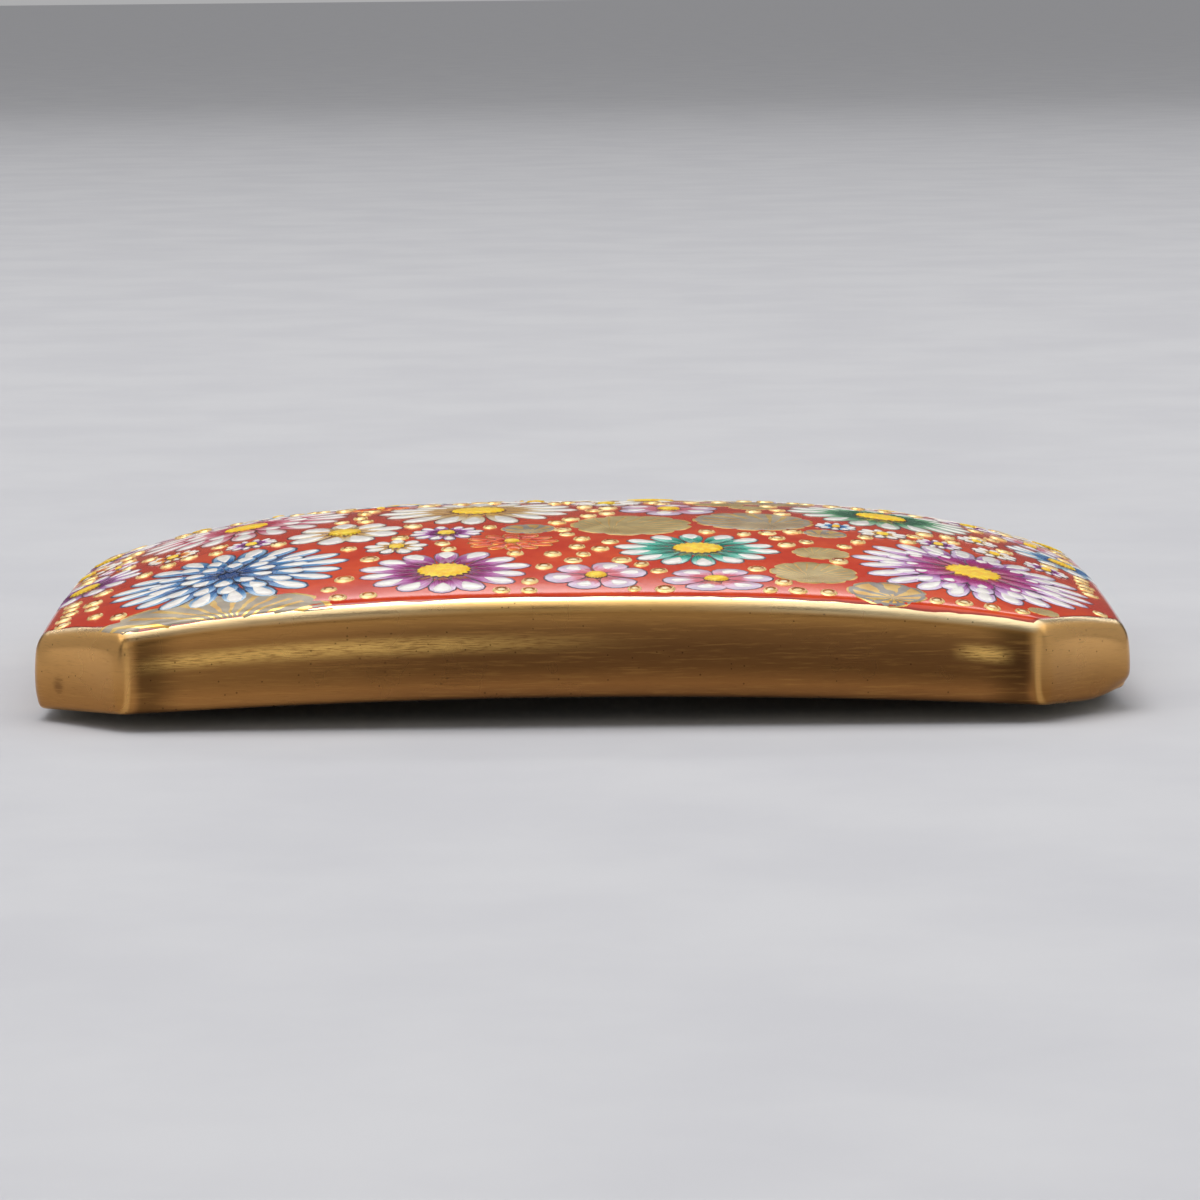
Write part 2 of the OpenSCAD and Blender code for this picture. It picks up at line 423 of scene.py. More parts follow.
# %% The red field
glaze, tree, shader, place = new_material("glaze_and_gilding")
read = {name: add_node(tree, "ShaderNodeAttribute", attribute_name=name).outputs["Fac"] for name in measures}
wander = noise_node(tree, place, 420.0, 3.0).outputs[0]
shift = times(tree, less(tree, wander, 0.5), 0.3)
field = plus(tree, read["face_inset"], shift)
painted = step_node(tree, field, 0.44, 0.47)
rim_line = times(tree, painted, rest_of(tree, step_node(tree, field, 0.5, 0.6)))
mottle = use_group(tree, clouds, Vector=place, Scale=260.0, Low=0.35, High=0.7)
pool = use_group(tree, clouds, Vector=place, Scale=900.0, Low=0.45, High=0.7)
red = mix_colour(tree, mottle, tone(208, 52, 16), tone(226, 80, 30))
red = mix_colour(tree, times(tree, pool, 0.35), red, tone(186, 38, 14))
red = mix_colour(tree, times(tree, rim_line, 0.7), red, tone(120, 20, 12))
print("red field nodes:", len(tree.nodes))

# %% [markdown]
# ### The gilding
# Gold paint is fired on the wall and burnished along it, so it is streaked lengthwise. Light and
# shade are painted into its colour by height: a painted reflection lighter near the foot, painted
# shade halfway up and a painted highlight on the lip. The cut corners are painted lighter towards
# their top, with painted shade beside each and a painted highlight on the ridge between, and the
# left end is painted lighter. Two painted highlights lie halfway up the wall, one spot near the
# left corner is smudged, and tiny dark specks are scattered over it. Each of these is a mask, and
# the masks are laid over the ramp of colours in order.

# %% Gold with painted light and shade by height, and where it changes
up, gap = read["wall_share"], read["corner_gap"]
along = add_node(tree, "ShaderNodeSeparateXYZ", {0: place}).outputs["X"]
streak = use_group(tree, streaks, Vector=place, Stretch=18.0, Scale=520.0)
fine = use_group(tree, streaks, Vector=place, Stretch=14.0, Scale=1700.0)
wear = use_group(tree, clouds, Vector=place, Scale=150.0, Low=0.38, High=0.66)
# the colour up the wall holds painted light: a lighter painted reflection near the foot, painted shade halfway
# up and a painted highlight at the lip
painted_light_by_height = add_node(tree, "ShaderNodeValToRGB", {0: up})
stops = painted_light_by_height.color_ramp.elements
stops[0].position, stops[0].color = 0.02, tone(118, 80, 46)
stops[1].position, stops[1].color = 0.97, tone(250, 206, 134)
for height, colour in ((0.15, tone(162, 110, 60)), (0.32, tone(122, 82, 44)), (0.5, tone(112, 76, 42)),
                       (0.7, tone(134, 94, 52)), (0.86, tone(180, 132, 72))):
    stops.new(height).color = colour
beside = math_node(tree, "ABSOLUTE", along)
# a painted highlight on the lip, away from the middle
lip_highlight = times(tree, step_node(tree, up, 0.84, 0.92), step_node(tree, beside, 3 * MM, 13 * MM))
# the cut corners' facets get painted light, lighter towards their top
facet = rest_of(tree, step_node(tree, gap, 0.15, 0.55))
facet_painted_light = mix_colour(tree, step_node(tree, up, 0.1, 0.9), tone(150, 104, 54), tone(232, 180, 112))
# painted shade in a band beside each ridge, fading near the lip
ridge_side_shade = times(tree, step_node(tree, gap, 0.35, 0.7), rest_of(tree, step_node(tree, gap, 0.9, 2.2)))
ridge_side_shade = times(tree, ridge_side_shade, rest_of(tree, step_node(tree, up, 0.8, 0.95)))
# the left end of the wall painted lighter, as if lit from that side
lit_end = rest_of(tree, step_node(tree, along, -17 * MM, -4 * MM))
# two painted highlights halfway up the wall, a long one on the left and a small one on the right, broken by
# the streaks
long_highlight = times(tree, step_node(tree, along, -21 * MM, -17 * MM),
                   rest_of(tree, step_node(tree, along, -12 * MM, 4 * MM)))
small_highlight = times(tree, step_node(tree, along, 16.4 * MM, 17.8 * MM),
                    rest_of(tree, step_node(tree, along, 18.4 * MM, 19.6 * MM)))
painted_highlights = times(tree, band_node(tree, up, 0.56, 0.0, 0.14), plus(tree, long_highlight, small_highlight))
painted_highlights = times(tree, painted_highlights, step_node(tree, fine, 0.25, 0.62))
spot = (-23.8 * MM, -15.4 * MM, 1.8 * MM)
off = add_node(tree, "ShaderNodeVectorMath", {0: place, 1: spot}, operation="DISTANCE").outputs["Value"]
ragged = plus(tree, off, times(tree, less(tree, fine, 0.5), 1.2 * MM))
# mask, its strength, and the colour it lays on
gold_layers = [
    # painted highlights on the lip: the first towards the ends, the second all along its top
    (lip_highlight, 0.9, tone(255, 232, 184)),
    (step_node(tree, up, 0.95, 0.985), 1.0, tone(255, 234, 190)),
    # painted light on the facets
    (facet, 1.0, facet_painted_light),
    # painted light on the left end
    (lit_end, 0.3, tone(216, 156, 86)),
    # painted shade beside each ridge
    (ridge_side_shade, 0.62, tone(62, 40, 20)),
    # a painted highlight along each ridge
    (band_node(tree, gap, 0.2, 0.03, 0.14), 0.45, tone(244, 190, 112)),
    (step_node(tree, streak, 0.5, 0.7), 0.16, tone(226, 170, 92)),
    (step_node(tree, fine, 0.5, 0.8), 0.3, tone(84, 56, 30)),
    # painted highlights on the wall
    (painted_highlights, 0.8, tone(255, 206, 116)),
    (use_group(tree, specks, Vector=place, Scale=3600.0, Size=0.15, Share=0.15), 0.55, tone(36, 22, 12)),
    (rest_of(tree, step_node(tree, ragged, 0.1 * MM, 0.5 * MM)), 0.5, tone(84, 46, 26)),
    (rest_of(tree, step_node(tree, up, -0.03, 0.02)), 1.0, tone(52, 34, 22)),
]
# the ramp with its painted light and shade is the base under the layers
gold = painted_light_by_height.outputs[0]
for mask, strength, colour in gold_layers:
    gold = mix_colour(tree, times(tree, mask, strength), gold, colour)
print("layers over the gold:", len(gold_layers))

# %% [markdown]
# ### The back
# The back is left in clear glaze over cream clay, which crazes as it cools. A Voronoi texture read
# as the distance to its cells' edges gives the crackle, and a noise bends its straight lines.

# %% The crackled back, and the three finishes put together
drift = noise_node(tree, place, 500.0, 4.0).outputs["Color"]
drift = add_node(tree, "ShaderNodeVectorMath", {0: drift, "Scale": 1.1 * MM}, operation="SCALE").outputs[0]
bent = add_node(tree, "ShaderNodeVectorMath", {0: place, 1: drift}, operation="ADD").outputs[0]
crackle = add_node(tree, "ShaderNodeTexVoronoi", {"Vector": bent, "Scale": 540.0}, feature="DISTANCE_TO_EDGE")
crack = rest_of(tree, step_node(tree, crackle.outputs["Distance"], 0.008, 0.03))
faint = times(tree, crack, plus(tree, 0.12, times(tree, wear, 0.3)))
cream = mix_colour(tree, mottle, tone(222, 212, 186), tone(234, 226, 204))
cream = mix_colour(tree, faint, cream, tone(136, 104, 70))
bare = step_node(tree, plus(tree, read["back_inset"], shift), 0.5, 0.6)

colour = mix_colour(tree, bare, mix_colour(tree, painted, gold, red), cream)
clay = math_node(tree, "MAXIMUM", painted, bare)
gilt = rest_of(tree, clay)
tree.links.new(colour, shader.inputs["Base Color"])
tree.links.new(gilt, shader.inputs["Metallic"])
gold_rough = plus(tree, 0.24, times(tree, wear, 0.14))
rough = plus(tree, times(tree, gold_rough, gilt), times(tree, clay, 0.13))
tree.links.new(rough, shader.inputs["Roughness"])
brushed = times(tree, plus(tree, times(tree, fine, 0.4), streak), gilt)
brushed = times(tree, brushed, rest_of(tree, times(tree, facet, 0.8)))
height = plus(tree, brushed, times(tree, times(tree, mottle, clay), 0.4))
bump(tree, shader, height, 0.007 * MM, 0.7)
plate.data.materials.clear()
plate.data.materials.append(glaze)
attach(plate, "root")
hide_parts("plate")
print("plate finish nodes:", len(tree.nodes))

# %% [markdown]
# ## The cord loops
# Two straps of gilt brass are bent down from the hollow and back. Their CAD shape is right as it
# stands, so they keep it and only get a finish: brushed brass, a little browned in patches.

# %% Brass for the loops
brass, tree, shader, place = new_material("browned_brass")
streak = use_group(tree, streaks, Vector=place, Stretch=0.12, Scale=2600.0)
tarnish = use_group(tree, clouds, Vector=place, Scale=300.0, Low=0.42, High=0.7)
colour = mix_colour(tree, step_node(tree, streak, 0.3, 0.7), tone(206, 162, 92), tone(226, 184, 112))
colour = mix_colour(tree, times(tree, tarnish, 0.3), colour, tone(164, 118, 66))
tree.links.new(colour, shader.inputs["Base Color"])
shader.inputs["Metallic"].default_value = 1.0
rough = plus(tree, 0.24, times(tree, tarnish, 0.16))
tree.links.new(rough, shader.inputs["Roughness"])
bump(tree, shader, streak, 0.004 * MM, 0.5)
for name in ("loop_left", "loop_right"):
    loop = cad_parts[name]
    loop.data.materials.clear()
    loop.data.materials.append(brass)
    low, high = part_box(name)
    print(name, "in brass, mm:", [round((b - a) / MM, 2) for a, b in zip(low, high)])

# %% [markdown]
# ## Enamel
# A painter first draws a petal as a thin outline, floods it with a wash that is deep at the foot
# and pale at the tip, and then lays one loaded stroke of white over its outer half. Every petal
# here carries a UV map that runs from foot to tip, and its wash reads the colour from there.

# %% Finishes for washes, strokes, drawn lines and centres


def wash_enamel(name, foot, middle, tip):
    """A wash that runs from a deep foot through a tint to a pale tip, with the brush's hairs."""
    material, tree, shader, place = new_material(name)
    stroke_map = add_node(tree, "ShaderNodeUVMap", uv_map="stroke").outputs[0]
    along = add_node(tree, "ShaderNodeSeparateXYZ", {0: stroke_map})
    seed = add_node(tree, "ShaderNodeSeparateXYZ", {0: place}).outputs["X"]
    across = times(tree, along.outputs["X"], 9.0)
    depth = times(tree, seed, 400.0)
    hair_map = add_node(tree, "ShaderNodeCombineXYZ", {"X": across, "Y": along.outputs["Y"], "Z": depth})
    hairs = noise_node(tree, hair_map.outputs[0], 2.2, 3.0).outputs[0]
    wobble = times(tree, less(tree, hairs, 0.5), 0.55)
    ramp = add_node(tree, "ShaderNodeValToRGB", {0: plus(tree, along.outputs["Y"], wobble)})
    stops = ramp.color_ramp.elements
    stops[0].position, stops[0].color = 0.28, foot
    stops[1].position, stops[1].color = 0.82, tip
    stops.new(0.45).color = middle
    cloud = use_group(tree, clouds, Vector=place, Scale=1500.0, Low=0.5, High=0.75)
    colour = mix_colour(tree, times(tree, cloud, 0.16), ramp.outputs[0], foot)
    tree.links.new(colour, shader.inputs["Base Color"])
    shader.inputs["Roughness"].default_value = 0.2
    bump(tree, shader, hairs, 0.012 * MM, 0.6)
    return material


def plain_enamel(name, low, high, rough=0.25, scale=900.0, depth=0.02):
    """Enamel of one colour, uneven as a brush leaves it."""
    material, tree, shader, place = new_material(name)
    mottle = use_group(tree, clouds, Vector=place, Scale=scale, Low=0.35, High=0.68)
    tree.links.new(mix_colour(tree, mottle, low, high), shader.inputs["Base Color"])
    shader.inputs["Roughness"].default_value = rough
    bump(tree, shader, mottle, depth * MM, 0.6)
    return material


def laid_gold(name, low, high, metal=0.85):
    """Gold laid over the glaze in raised lines and dots."""
    material, tree, shader, place = new_material(name)
    mottle = use_group(tree, clouds, Vector=place, Scale=1700.0, Low=0.35, High=0.7)
    tree.links.new(mix_colour(tree, mottle, low, high), shader.inputs["Base Color"])
    shader.inputs["Metallic"].default_value = metal
    rough = plus(tree, 0.24, times(tree, mottle, 0.2))
    tree.links.new(rough, shader.inputs["Roughness"])
    bump(tree, shader, mottle, 0.02 * MM, 0.7)
    return material


white = tone(252, 248, 240)
hues = {
    "blue": (tone(8, 62, 126), tone(48, 122, 180), tone(176, 204, 226)),
    "violet": (tone(132, 4, 92), tone(178, 76, 156), tone(222, 200, 224)),
    "teal": (tone(0, 120, 98), tone(30, 172, 146), tone(196, 226, 220)),
    "magenta": (tone(150, 4, 70), tone(160, 12, 104), tone(176, 44, 142)),
    "lilac": (tone(116, 12, 100), tone(182, 116, 184), tone(224, 208, 230)),
    "pink": (tone(214, 112, 124), tone(222, 172, 196), tone(216, 200, 220)),
    "rose": (tone(176, 34, 66), tone(222, 124, 144), tone(240, 214, 214)),
    "cream": (tone(196, 150, 84), tone(226, 206, 168), tone(238, 230, 214)),
    "green": (tone(24, 96, 62), tone(106, 170, 124), tone(214, 228, 208)),
    "sky": (tone(48, 104, 164), tone(140, 186, 214), tone(222, 232, 238)),
    "amber": (tone(196, 88, 14), tone(232, 164, 66), tone(246, 226, 176)),
    "crimson": (tone(122, 6, 26), tone(190, 52, 62), tone(236, 184, 176)),
    "orange": (tone(170, 34, 10), tone(214, 66, 20), tone(232, 106, 44)),
}
wash_finish = {name: wash_enamel("wash_" + name, *stops) for name, stops in hues.items()}
pool_finish = {name: plain_enamel("pool_" + name, tuple(0.8 * part for part in stops[0]), stops[0])
               for name, stops in hues.items()}
white_finish = plain_enamel("white_stroke", tone(238, 231, 226), white, 0.16, 1400.0, 0.015)
yellow = plain_enamel("yellow_centre", tone(246, 190, 18), tone(255, 224, 56), 0.35, 2600.0, 0.03)
lines = {"grey": plain_enamel("grey_line", tone(52, 38, 54), tone(92, 74, 90), 0.4),
         "navy": plain_enamel("navy_line", tone(16, 26, 52), tone(44, 62, 96), 0.4),
         "brown": plain_enamel("brown_line", tone(70, 24, 30), tone(110, 50, 44), 0.4),
         "gold": laid_gold("gold_line", tone(196, 136, 58), tone(240, 196, 112))}
bright_gold = laid_gold("raised_gold", tone(236, 192, 116), tone(255, 230, 168), 0.5)
hollow_gold = laid_gold("hollow_gold", tone(168, 84, 32), tone(206, 122, 52), 0.5)
pale_gold = plain_enamel("pale_gold", tone(246, 218, 156), tone(255, 242, 206), 0.22, 2200.0, 0.03)
print("enamel finishes:", len(bpy.data.materials))

# %% [markdown]
# ## Modelling one petal
# A petal starts as a disc that is stretched, and pinched towards its foot. Three raised steps make
# its side, the drawn line, which stands as a low brim, and the wash inside it. The white stroke is
# a second, narrower disc that is raised over the outer half. Heights are kept low, because this is
# paint. A curve with a bevel could draw the line too, but the step costs fewer faces.

# %% Petals, strokes and round pools of enamel
sink = 0.02 * MM
line_width = 0.075 * MM


def start_disc(name, sides, width, length):
    """A disc stretched round the origin, open in edit mode."""
    bpy.ops.object.select_all(action="DESELECT")
    bpy.ops.mesh.primitive_circle_add(vertices=sides, radius=0.5, fill_type="NGON")
    disc = bpy.context.object
    disc.name = name
    edit(disc)
    bpy.ops.transform.resize(value=(width, length, 1))
    bpy.ops.mesh.select_mode(type="FACE")
    return disc


def start_petal(name, sides, width, length, foot_width):
    """A disc along +Y from the origin, drawn in row by row towards its foot."""
    petal = start_disc(name, sides, width, length)
    bpy.ops.transform.translate(value=(0, length / 2, 0))
    for row in range(sides // 4 + 2):
        height = length * (0.5 - 0.5 * math.cos(math.tau * row / sides))
        share = foot_width + (1 - foot_width) * min(1.0, 1.25 * height / length) ** 0.8
        select_where(petal, lambda place: abs(place.y - height) < 0.01 * length)
        bpy.ops.transform.resize(value=(share, 1, 1), center_override=(0, 0, 0))
    bpy.ops.mesh.select_all(action="SELECT")
    bpy.ops.mesh.select_mode(type="FACE")
    return petal


def step_in(share_x, share_y, rise, middle):
    """Raises the selected face on sides that lean in towards its middle."""
    bpy.ops.mesh.extrude_region()
    bpy.ops.transform.resize(value=(share_x, share_y, 1), center_override=(0, middle, 0))
    bpy.ops.transform.translate(value=(0, 0, rise))


def finish_piece(thing, finishes, chooser):
    """Sets finishes by face and a UV map that runs across and along the piece."""
    bpy.ops.object.mode_set(mode="OBJECT")
    bpy.ops.object.shade_smooth()
    mesh = thing.data
    for layer in list(mesh.uv_layers):
        mesh.uv_layers.remove(layer)
    layer = mesh.uv_layers.new(name="stroke")
    width = max(thing.dimensions.x, MM * 0.01)
    length = max(vertex.co.y for vertex in mesh.vertices)
    for loop in mesh.loops:
        place = mesh.vertices[loop.vertex_index].co
        layer.data[loop.index].uv = (place.x / width + 0.5, place.y / length)
    for finish in finishes:
        mesh.materials.append(finish)
    for face in mesh.polygons:
        face.material_index = chooser(max(mesh.vertices[k].co.z for k in face.vertices))
    return thing


def wash_petal(length, width, foot_width, finish, edge, drawn, lift=0.0):
    """A flat washed petal with a drawn line round it."""
    petal = start_petal("wash", 14, width, length, foot_width)
    rim = 0.03 * MM + lift
    step_in(0.98, 0.98, rim, length / 2)
    step_in(1 - 2 * drawn / width, 1 - 2 * drawn / length, 0, length / 2)
    step_in(0.85, 0.94, 0.02 * MM, length / 2)
    bpy.ops.mesh.poke(offset=0.02 * MM)
    return finish_piece(petal, (finish, edge), lambda top: 1 if top < rim + 0.005 * MM else 0)


def white_stroke(length, width, base, height, finish=None, foot_width=0.25):
    """One raised stroke of thick enamel, pointed at its foot."""
    stroke = start_petal("stroke", 10, width, length, foot_width)
    bpy.ops.transform.translate(value=(0, 0, base))
    step_in(0.84, 0.92, height * 0.7, length * 0.54)
    step_in(0.6, 0.78, height * 0.25, length * 0.58)
    bpy.ops.mesh.poke(offset=height * 0.05)
    return finish_piece(stroke, (finish or white_finish,), lambda top: 0)


def round_pool(name, radius, height, finish, edge=None, sides=32, rings=2, ragged=0.0, base=0.0):
    """A round pool of enamel, with a line round it and a ragged edge where they are asked for."""
    pool = start_disc(name, sides, radius * 2, radius * 2)
    bpy.ops.transform.translate(value=(0, 0, base))
    rim = 0.03 * MM + base
    if edge:
        bpy.ops.mesh.inset(thickness=line_width * 0.4, depth=0.03 * MM)
        bpy.ops.mesh.inset(thickness=line_width * 0.8, depth=0)
    bpy.ops.mesh.inset(thickness=min(radius * 0.12, height), depth=height * 0.7)
    for _ in range(rings):
        bpy.ops.mesh.inset(thickness=radius * 0.6 / rings, depth=height * 0.3 / rings)
    bpy.ops.mesh.poke()
    if ragged:
        select_where(pool, lambda place: place.xy.length > radius * 0.8
                     and round(math.atan2(place.y, place.x) / math.tau * sides) % 2 == 0)
        bpy.ops.transform.resize(value=(1 - ragged, 1 - ragged, 1), center_override=(0, 0, 0))
    finishes = (finish, edge) if edge else (finish,)
    return finish_piece(pool, finishes, lambda top: 1 if edge and top < rim + 0.005 * MM else 0)


# %% [markdown]
# ## Laying enamel on the dome
# The enamel is modelled flat. To lay it on, its height is first written down as a vertex group,
# a Shrinkwrap projects it straight down on the plate, and a Displace lifts each point by what its
# group says. So a stroke bends with the dome and keeps its own thickness. What runs over the edge
# of the painted field is bisected away first, and the cut edge is pressed into the glaze. Further
# cuts just inside it give the faces there enough points to follow the rounded lip.

# %% Lay a flat piece on the plate
above = 30 * MM
relief_top = 0.4 * MM


def trim_to_field(thing, inset):
    """Cuts a flat piece along the plate's outline, that far inside it."""
    edit(thing)
    for further in (1.2, 0.6, 0.35, 0.15, 0.0):
        away = inset + further * MM
        slant = (half_l + half_w - corner_cut) / 2 - away / math.sqrt(2)
        for x, y in ((-1, -1), (-1, 0), (-1, 1), (0, -1), (0, 1), (1, -1), (1, 0), (1, 1)):
            at = (x * slant, y * slant, 0) if x and y else (x * (half_l - away), y * (half_w - away), 0)
            bpy.ops.mesh.select_all(action="SELECT")
            bpy.ops.mesh.bisect(plane_co=at, plane_no=(x, y, 0), clear_outer=further == 0)
    bpy.ops.mesh.select_all(action="DESELECT")
    bpy.ops.mesh.select_mode(type="EDGE")
    mesh = bmesh.from_edit_mesh(thing.data)
    for edge in mesh.edges:
        edge.select_set(edge.is_boundary and max(vertex.co.z for vertex in edge.verts) > 0.001 * MM)
    cut = any(edge.select for edge in mesh.edges)
    bmesh.update_edit_mesh(thing.data)
    if cut:
        bpy.ops.mesh.extrude_region()
        bpy.ops.transform.resize(value=(1, 1, 0), center_override=(0, 0, 0))
    return done(thing)


def lay_on(thing):
    """Bends a flat piece down on the dome, keeping its relief."""
    group = thing.vertex_groups.new(name="relief")
    for vertex in thing.data.vertices:
        group.add([vertex.index], max(0.0, min(1.0, vertex.co.z / relief_top)), "REPLACE")
        vertex.co.z = above
    wrap = thing.modifiers.new("lay", "SHRINKWRAP")
    wrap.target = plate
    wrap.wrap_method = "PROJECT"
    wrap.use_project_z = True
    wrap.use_negative_direction = True
    wrap.use_positive_direction = False
    lift = thing.modifiers.new("lift", "DISPLACE")
    lift.direction = "Z"
    lift.mid_level = 0.0
    lift.strength = relief_top
    lift.vertex_group = "relief"
    apply_all(thing)
    thing.vertex_groups.clear()
    thing.location.z = -sink
    bpy.ops.object.transform_apply(location=True, rotation=True, scale=True)
    return thing


# %% [markdown]
# ## The flowers
# A flower is a pool of its deep colour, rings of petals from the outside in, and a heart. A single
# one has one ring and a ragged yellow heart. A double one has shorter, darker petals inside, each
# with a white dollop near its tip. Petals differ a little in length, breadth and direction.

# %% Building one flower
# ring: petals, foot and tip as shares of the reach, wash, white stroke's foot and tip as shares
# of the petal, stroke's share of the petal's breadth
recipes = {
    "violet": dict(rings=[(14, 0.26, 1.0, "violet", 0.4, 0.94, 0.72)], heart=0.32, edge="grey"),
    "teal": dict(rings=[(14, 0.26, 1.0, "teal", 0.42, 0.96, 0.74)], heart=0.32, edge="grey"),
    "purple": dict(rings=[(22, 0.36, 1.0, "lilac", 0.36, 0.92, 0.66), (16, 0.3, 0.76, "lilac", 0.5, 0.92, 0.6),
                          (11, 0.14, 0.6, "magenta", 0.68, 0.93, 0.42)], heart=0.25, edge="grey"),
    "blue": dict(rings=[(20, 0.36, 1.0, "blue", 0.3, 0.95, 0.62), (15, 0.22, 0.68, "blue", 0.42, 0.94, 0.66),
                        (10, 0.08, 0.42, "blue", 0.4, 0.95, 0.74)], heart=0.0, edge="navy"),
    "rose": dict(rings=[(18, 0.34, 1.0, "rose", 0.34, 0.93, 0.66), (12, 0.16, 0.62, "rose", 0.5, 0.92, 0.6)],
                 heart=0.22, edge="brown"),
    "cream": dict(rings=[(16, 0.24, 1.0, "cream", 0.3, 0.95, 0.74)], heart=0.28, edge="brown"),
    "green": dict(rings=[(16, 0.24, 1.0, "green", 0.4, 0.95, 0.7)], heart=0.28, edge="grey"),
    "sky": dict(rings=[(18, 0.34, 1.0, "sky", 0.32, 0.94, 0.66), (12, 0.16, 0.62, "sky", 0.46, 0.92, 0.64)],
                heart=0.22, edge="navy"),
    "amber": dict(rings=[(14, 0.24, 1.0, "amber", 0.42, 0.94, 0.62)], heart=0.28, edge="brown"),
    "crimson": dict(rings=[(20, 0.34, 1.0, "crimson", 0.4, 0.93, 0.6),
                           (12, 0.16, 0.62, "crimson", 0.55, 0.92, 0.55)], heart=0.24, edge="brown"),
    "blossom": dict(rings=[(6, 0.16, 1.0, "pink", 0.34, 0.8, 0.5)], heart=0.24, edge="grey"),
    "daisy": dict(rings=[(9, 0.2, 1.0, "cream", 0.2, 0.95, 0.8)], heart=0.3, edge="grey"),
    "aster": dict(rings=[(12, 0.22, 1.0, "lilac", 0.36, 0.94, 0.7)], heart=0.28, edge="grey"),
    "gold_lined": dict(rings=[(12, 0.2, 1.0, "orange", 0, 0, 0), (8, 0.1, 0.55, "orange", 0, 0, 0)], heart=0.2,
                       edge="gold"),
    "cornflower": dict(rings=[(10, 0.2, 1.0, "sky", 0.36, 0.94, 0.66)], heart=0.26, edge="navy"),
}


def round_flower(name, kind, reach):
    """The parts of a flower of that kind and reach, flat and round the origin."""
    recipe = recipes[kind]
    chance = random.Random(name)
    edge = lines[recipe["edge"]]
    parts = []
    for level, (count, foot, tip, wash, white_foot, white_tip, white_share) in enumerate(recipe["rings"]):
        length = reach * (tip - foot)
        step = math.tau * reach * (foot + 0.78 * (tip - foot)) / count
        width = step * (1.0 if count > 8 else 0.96)
        lift = level * 0.02 * MM
        if level == 0:
            parts.append(round_pool(name + "_pool", reach * (foot + 0.3 * (tip - foot)), 0.025 * MM,
                                    pool_finish[wash]))
        drawn = line_width * (1.5 if recipe["edge"] == "navy" and reach > 3 * MM else 1.0)
        petal = wash_petal(length, width, 0.42, wash_finish[wash], edge, drawn, lift)
        if white_share:
            stroke = white_stroke(length * (white_tip - white_foot), width * white_share, lift + 0.03 * MM,
                                  min(0.055 * MM, width * 0.1))
            stroke.location.y = length * white_foot
            petal = joined("petal", [petal, stroke])
        turn = chance.uniform(0, 1)
        for k in range(count):
            angle = math.tau * (k + turn + chance.uniform(-0.07, 0.07)) / count
            start = reach * foot
            size = (chance.uniform(0.88, 1.05), chance.uniform(0.9, 1.04 if tip < 1 else 1.0),
                    chance.uniform(0.9, 1.15))
            parts.append(copy_of(petal, (-math.sin(angle) * start, math.cos(angle) * start, 0), angle, size))
        drop(petal)
    if recipe["heart"]:
        parts.append(round_pool(name + "_heart", reach * recipe["heart"], 0.1 * MM, yellow, lines["brown"],
                                40 if reach > 2 * MM else 16, 2, 0.18, 0.02 * MM))
    return parts


def place_flower(name, kind, x, y, reach_x, reach_y):
    """A flower pressed to an oval and moved to its place, still flat."""
    flower = joined(name, round_flower(name, kind, reach_x))
    flower.scale = (1, reach_y / reach_x, 1)
    flower.location = (x, y, 0)
    only(flower)
    bpy.ops.object.transform_apply(location=True, rotation=True, scale=True)
    return flower


# %% The flowers that the frame holds
# node in the frame: recipe
framed = {"flower_blue": "blue", "flower_violet": "violet", "flower_teal": "teal", "flower_purple": "purple",
          "blossom_near_left": "blossom", "blossom_near_right": "blossom", "flower_rose": "rose",
          "flower_white": "cream", "flower_green": "green", "flower_sky": "sky", "flower_amber": "amber",
          "flower_crimson": "crimson", "blossom_left": "blossom", "blossom_middle": "blossom",
          "blossom_right": "blossom"}
ovals = []
for name, kind in framed.items():
    low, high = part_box(name)
    oval = ((low.x + high.x) / 2, (low.y + high.y) / 2, (high.x - low.x) / 2, (high.y - low.y) / 2)
    flower = place_flower("enamel_" + name, kind, *oval)
    trim_to_field(flower, 0.4 * MM)
    lay_on(flower)
    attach(flower, "root")
    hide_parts(name)
    ovals.append(oval)
print("flowers laid on:", len(ovals))

# %% [markdown]
# ## Leaves in gold and grey
# Between the flowers lie round leaves and cut-off fans, flooded with a thin grey and drawn in
# gold. A leaf is a disc with a scalloped edge, and its UV map runs round it and outwards, so that
# the gold can be drawn as rays and rings that spread from its foot.

# %% Gold-drawn leaf finish and its mesh


